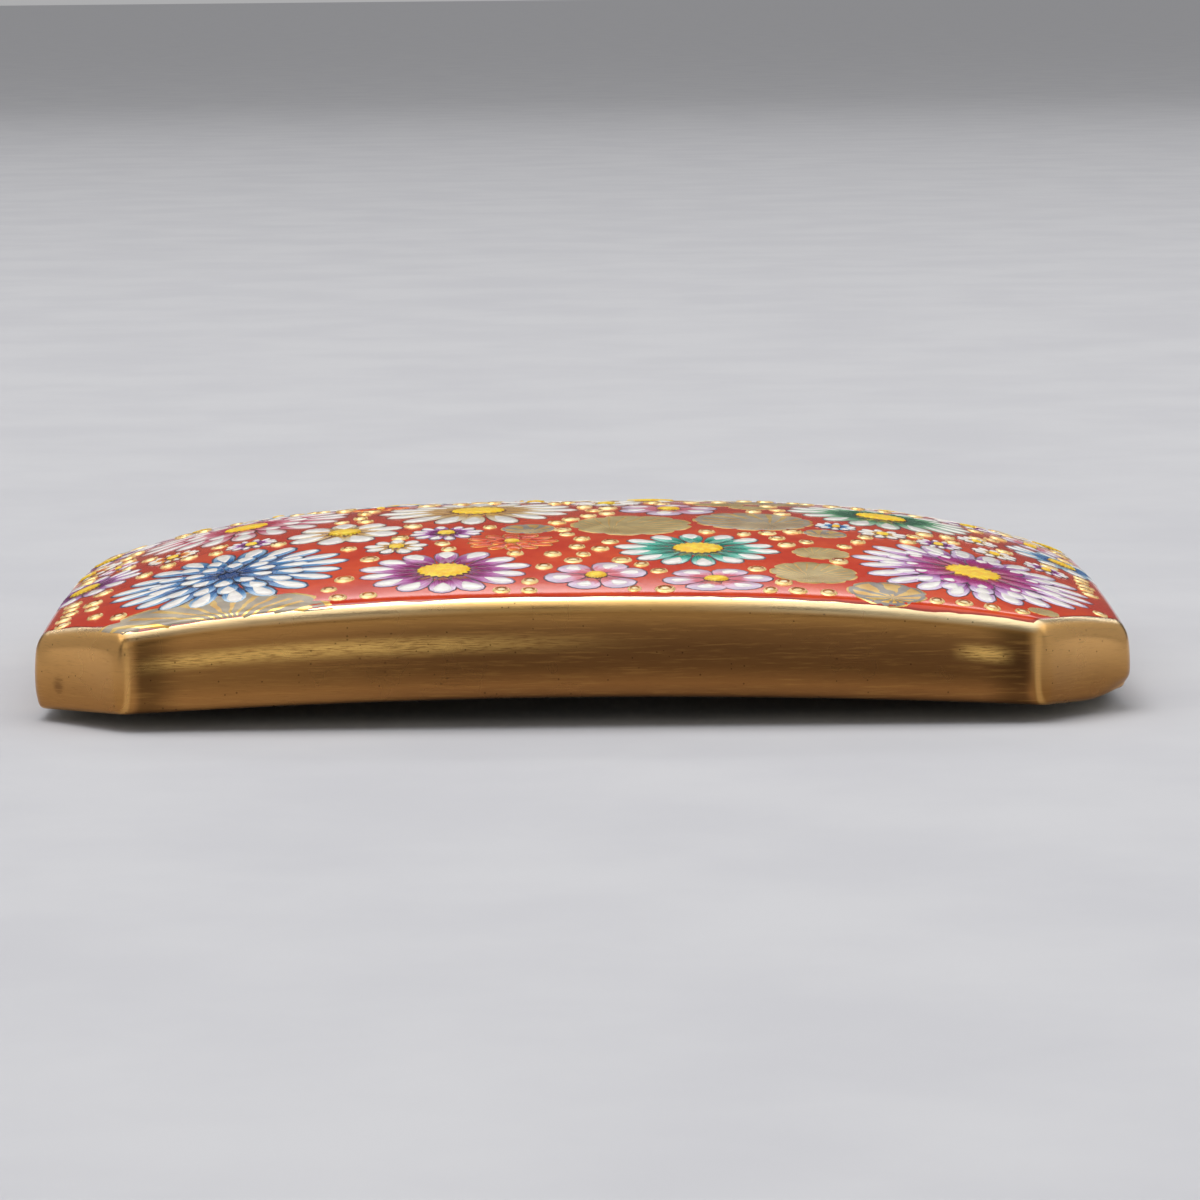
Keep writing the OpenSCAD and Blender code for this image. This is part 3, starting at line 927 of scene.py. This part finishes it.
def leaf_finish(name, rays, ray_share, body_low, body_high):
    """Grey or gold enamel with gold rays that run out from the leaf's foot, and a gold rim."""
    material, tree, shader, place = new_material(name)
    stroke_map = add_node(tree, "ShaderNodeUVMap", uv_map="stroke").outputs[0]
    polar = add_node(tree, "ShaderNodeSeparateXYZ", {0: stroke_map})
    rough_edge = noise_node(tree, place, 1400.0, 2.0).outputs[0]
    shake = times(tree, less(tree, rough_edge, 0.5), 0.35)
    turns = plus(tree, times(tree, polar.outputs["X"], float(rays)), shake)
    beside = math_node(tree, "ABSOLUTE", less(tree, math_node(tree, "FRACT", turns), 0.5))
    ray = math_node(tree, "LESS_THAN", beside, ray_share)
    outer = plus(tree, polar.outputs["Y"], times(tree, shake, 0.15))
    past_foot = math_node(tree, "GREATER_THAN", outer, 0.2)
    reach = times(tree, past_foot, math_node(tree, "LESS_THAN", outer, 0.82))
    rim = math_node(tree, "GREATER_THAN", outer, 0.92)
    drawn = math_node(tree, "MAXIMUM", times(tree, ray, reach), rim)
    mottle = use_group(tree, clouds, Vector=place, Scale=800.0, Low=0.35, High=0.7)
    body = mix_colour(tree, mottle, body_low, body_high)
    gold = mix_colour(tree, mottle, tone(226, 172, 78), tone(252, 216, 132))
    tree.links.new(mix_colour(tree, drawn, body, gold), shader.inputs["Base Color"])
    tree.links.new(times(tree, drawn, 0.55), shader.inputs["Metallic"])
    shader.inputs["Roughness"].default_value = 0.28
    bump(tree, shader, plus(tree, drawn, times(tree, mottle, 0.3)), 0.03 * MM, 0.8)
    return material


leaf_finishes = {"fan": leaf_finish("grey_fan", 26, 0.17, tone(152, 138, 118), tone(186, 170, 146)),
                 "leaf": leaf_finish("gold_leaf", 30, 0.1, tone(164, 140, 88), tone(196, 172, 116)),
                 "cut_out": leaf_finish("gold_fan", 10, 0.3, tone(128, 118, 110), tone(170, 160, 150))}


def model_leaf(name, kind, x, y, reach_x, reach_y, foot=(0, 0), lobes=9):
    """A low scalloped disc whose UV map runs round its foot and outwards."""
    sides = lobes * 8
    leaf = round_pool(name, 1.0, 0.045, leaf_finishes[kind], sides=sides, rings=3)
    edit(leaf)
    for notch, share in (((0,), 0.9), ((1, 7), 0.965)):
        select_where(leaf, lambda p: p.xy.length > 0.8
                     and round(math.atan2(p.y, p.x) / math.tau * sides) % 8 in notch)
        bpy.ops.transform.resize(value=(share, share, 1), center_override=(0, 0, 0))
    done(leaf)
    mesh = leaf.data
    layer = mesh.uv_layers["stroke"].data
    for face in mesh.polygons:
        middle = math.atan2(face.center.y - foot[1], face.center.x - foot[0])
        for index in face.loop_indices:
            here = mesh.vertices[mesh.loops[index].vertex_index].co.xy
            spot = here - Vector(foot)
            turn = (math.atan2(spot.y, spot.x) - middle + math.pi) % math.tau - math.pi
            layer[index].uv = ((middle + (turn if spot.length > 1e-4 else 0)) / math.tau, here.length)
    leaf.scale = (reach_x, reach_y, MM)
    leaf.location = (x, y, 0)
    only(leaf)
    bpy.ops.object.transform_apply(location=True, rotation=True, scale=True)
    return leaf


# %% [markdown]
# ## Filling the field
# The pattern leaves no part of the red bare for long: flowers of all sizes crowd together, leaves
# fill the corners between them, and gold dots fill what is left. What the photograph shows is put
# where it lies. The rest is packed by rule: the largest motifs that still fit go in first.

# %% Motifs seen in the photograph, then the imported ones
# kind, place along and across as shares of half the length and width, reach along and across in mm
seen = [
    ("gold_lined", -0.13, -0.48, 2.3, 1.9), ("daisy", -0.345, -0.5, 1.6, 1.6),
    ("fan", -0.675, -1.04, 6.1, 4.3), ("leaf", 0.424, -0.775, 2.1, 1.8), ("leaf", 0.444, -0.585, 1.4, 1.2),
    ("cut_out", 0.552, -0.905, 1.9, 1.6), ("leaf", 0.835, -0.9, 0.75, 0.6), ("daisy", 0.572, -0.28, 1.3, 1.2),
    ("aster", 0.676, -0.325, 1.2, 1.1), ("daisy", 0.784, -0.3, 1.2, 1.2), ("aster", 0.88, -0.33, 1.2, 1.2),
]
packed_kinds = ["aster", "leaf", "daisy", "blossom", "gold_lined", "cornflower", "fan", "daisy", "cut_out",
                "blossom", "daisy", "amber", "leaf", "aster"]
leaf_lobes = {"fan": 13, "leaf": 9, "cut_out": 7}
chance = random.Random(7)
groups = {"small_flowers": [], "gold_leaves": []}


def room_for(x, y, reach, gap):
    """Whether a circle at that place clears every oval and keeps its middle in the painted field."""
    if inside(x, y) < reach * 0.45:
        return False
    return all(((x - ox) / (a + reach + gap)) ** 2 + ((y - oy) / (b + reach + gap)) ** 2 > 1
               for ox, oy, a, b in ovals)


def put_motif(kind, x, y, reach_x, reach_y):
    """Models one motif at its place, remembers its oval, and files it with its like."""
    name = f"{kind}_{len(ovals)}"
    if kind in leaf_lobes:
        foot = (0.17, 0.05) if kind == "fan" and reach_x > 4 * MM else (chance.uniform(-0.4, 0.4), -0.5)
        motif = model_leaf(name, kind, x, y, reach_x, reach_y, foot, leaf_lobes[kind])
        groups["gold_leaves"].append(motif)
    else:
        groups["small_flowers"].append(place_flower(name, kind, x, y, reach_x, reach_y))
    ovals.append((x, y, reach_x, reach_y))


for kind, along, across, reach_x, reach_y in seen:
    put_motif(kind, along * half_l, across * half_w, reach_x * MM, reach_y * MM)
for reach in (3.0, 2.6, 2.2, 1.9, 1.6, 1.35, 1.1):
    for _ in range(2500):
        x, y = chance.uniform(-half_l, half_l), chance.uniform(-6.5 * MM, half_w)
        if room_for(x, y, reach * MM, -0.12 * MM):
            kind = packed_kinds[len(ovals) % len(packed_kinds)]
            put_motif(kind, x, y, reach * MM, reach * 0.96 * MM)
for name, motifs in groups.items():
    print(name, "holds", len(motifs), "motifs")
    whole = joined(name, motifs)
    trim_to_field(whole, 0.3 * MM)
    lay_on(whole)
    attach(whole, "root")

# %% [markdown]
# ## Gold dots
# The last thing on the red is rows of gold dots, each a small ring of raised gold round a pale
# knob, with a brown hollow between. They follow the lip in a row and then fill every gap. One dot
# is modelled by insets and copied, because hundreds of them must stay light.

# %% One dot, and where the dots go


def model_dot(reach):
    """A raised ring of gold with a pale knob in it."""
    dot = start_disc("dot", 12, reach * 2, reach * 2)
    for inset, rise in ((0.14, 0.08), (0.18, 0.02), (0.16, -0.06), (0.14, 0.05)):
        bpy.ops.mesh.inset(thickness=inset * reach, depth=rise * MM)
    bpy.ops.mesh.poke(offset=0.01 * MM)
    finish_piece(dot, (bright_gold, pale_gold, hollow_gold), lambda top: 0)
    for face in dot.data.polygons:
        far = face.center.xy.length / reach
        face.material_index = 2 if 0.46 < far < 0.62 else 1 if far < 0.3 else 0
    return dot


dot_reach = 0.47 * MM
dot = model_dot(dot_reach)
spots = []


def try_dot(x, y, gap, lip):
    """Keeps a place for a dot if it is clear of flowers, other dots and the lip."""
    clear = all((x - a) ** 2 + (y - b) ** 2 > gap ** 2 for a, b in spots)
    if clear and inside(x, y) > lip and all(
            ((x - ox) / (a + 0.3 * MM)) ** 2 + ((y - oy) / (b + 0.3 * MM)) ** 2 > 1 for ox, oy, a, b in ovals):
        spots.append((x, y))


for side in (-1, 1):
    for step in range(400):
        x = (step / 200 - 1) * half_l
        try_dot(x, side * (half_w - chance.uniform(1.15, 1.35) * MM), chance.uniform(1.15, 1.4) * MM, 0.9 * MM)
        try_dot(side * (half_l - chance.uniform(1.15, 1.35) * MM), x * half_w / half_l, 1.2 * MM, 0.9 * MM)
for _ in range(9000):
    try_dot(chance.uniform(-half_l, half_l), chance.uniform(-half_w, half_w), 1.16 * MM, 1.0 * MM)
dots = []
for x, y in spots:
    size = chance.uniform(0.86, 1.1)
    dots.append(copy_of(dot, (x, y, 0), chance.uniform(0, math.tau),
                        (size, size * chance.uniform(0.82, 1.0), chance.uniform(0.8, 1.2))))
drop(dot)
gold_dots = lay_on(joined("gold_dots", dots))
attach(gold_dots, "root")
print("gold dots:", len(spots))

# %% [markdown]
# ## The stage
# A plain pale floor under plain soft studio light. A mild sun and a wide light overhead make the
# bright line on the lip and keep the red deep, since what comes from low behind would veil it. Two
# large cards at the sides catch the cut corners, one in front keeps the wall from going black, and
# a narrow strip behind draws the crest. The surroundings are dim for all but the camera.

# %% Floor, lights and world
bpy.ops.object.select_all(action="DESELECT")
bpy.ops.mesh.primitive_plane_add(size=60.0, location=(0, 0, cad_low.z))
floor = bpy.context.object
floor.name = "floor"
paper, tree, shader, place = new_material("pale_floor")
mottle = use_group(tree, clouds, Vector=place, Scale=60.0, Low=0.3, High=0.7)
tree.links.new(mix_colour(tree, mottle, tone(196, 196, 200), tone(202, 202, 205)), shader.inputs["Base Color"])
shader.inputs["Roughness"].default_value = 0.8
shader.inputs["Specular IOR Level"].default_value = 0.15
floor.data.materials.append(paper)
floor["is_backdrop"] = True


def soft_light(name, place, size, power):
    """A rectangular soft light aimed at the middle of the object."""
    bpy.ops.object.select_all(action="DESELECT")
    bpy.ops.object.light_add(type="AREA", location=place)
    light = bpy.context.object
    light.name = name
    light.data.shape = "RECTANGLE"
    light.data.size, light.data.size_y = size
    light.data.energy = power
    light.visible_camera = False
    light.rotation_euler = (Vector((0, 0, 4 * MM)) - Vector(place)).to_track_quat("-Z", "Y").to_euler()


bpy.ops.object.select_all(action="DESELECT")
bpy.ops.object.light_add(type="SUN", location=(0, 0.5, 1))
key = bpy.context.object
key.name = "soft_key"
key.data.energy = 1.1
key.data.angle = math.radians(34)
key.rotation_euler = Vector((0.2, -0.1, -1)).to_track_quat("-Z", "Y").to_euler()
# each light's name, its place and size in metres, and its power in watts
soft_light("overhead", (0, -0.05, 0.6), (1.5, 0.8), 4.0)
soft_light("front_card", (0, -1.3, 0.5), (1.8, 0.8), 1.8)
soft_light("left_card", (-1.0, 0.0, 0.45), (1.8, 0.9), 1.5)
soft_light("right_card", (1.0, 0.0, 0.45), (1.8, 0.9), 1.6)
soft_light("back_strip", (0, 0.95, 0.6), (1.8, 0.1), 1.5)
world = bpy.data.worlds.new("studio")
bpy.context.scene.world = world
world.use_nodes = True
sky = world.node_tree
backdrop = sky.nodes["Background"]
backdrop.inputs["Color"].default_value = (0.84, 0.84, 0.85, 1)
seen_directly = add_node(sky, "ShaderNodeLightPath").outputs["Is Camera Ray"]
brightness = add_node(sky, "ShaderNodeMapRange", {"Value": seen_directly, "To Min": 0.14, "To Max": 0.5})
sky.links.new(brightness.outputs[0], backdrop.inputs["Strength"])
bpy.context.scene.view_settings.view_transform = "Standard"

# %% [markdown]
# ## The camera
# The photograph's near wall is 22.25 pixels to the millimetre, seen from 220 mm away and 8.2
# degrees up, a touch off level. Its lower edge sits 98 pixels under the picture's middle, so the
# camera looks that much higher, with no shift.

# %% Camera from the photograph
frame_px = 1200
px_per_m = 22.25 / MM
distance = 220 * MM
elevation = math.radians(8.2)
roll = math.radians(0.6)
wall_foot = Vector((0, cad_low.y, 1.38 * MM))
foot_px = (582, 698)
focal_px = px_per_m * distance
bpy.ops.object.camera_add()
camera = bpy.context.object
camera.name = "photo_view"
camera.data.sensor_width = 36
camera.data.lens = 36 * focal_px / frame_px
camera.data.clip_start = 0.01
camera.data.clip_end = 100
look_right = math.atan((frame_px / 2 - foot_px[0]) / focal_px)
look_up = math.atan((foot_px[1] - frame_px / 2) / focal_px)
stand = wall_foot + distance * Vector((0, -math.cos(elevation), math.sin(elevation)))
camera.matrix_world = (Matrix.Translation(stand) @ Matrix.Rotation(math.pi / 2 - elevation, 4, "X")
                       @ Matrix.Rotation(-look_right, 4, "Y") @ Matrix.Rotation(look_up, 4, "X")
                       @ Matrix.Rotation(-roll, 4, "Z"))
bpy.context.scene.camera = camera
print("lens, mm:", round(camera.data.lens, 1))

# %% Print the visual box and finish
low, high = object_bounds()
print("visual box, mm:", [round(v / MM, 2) for v in (*low, *high)])
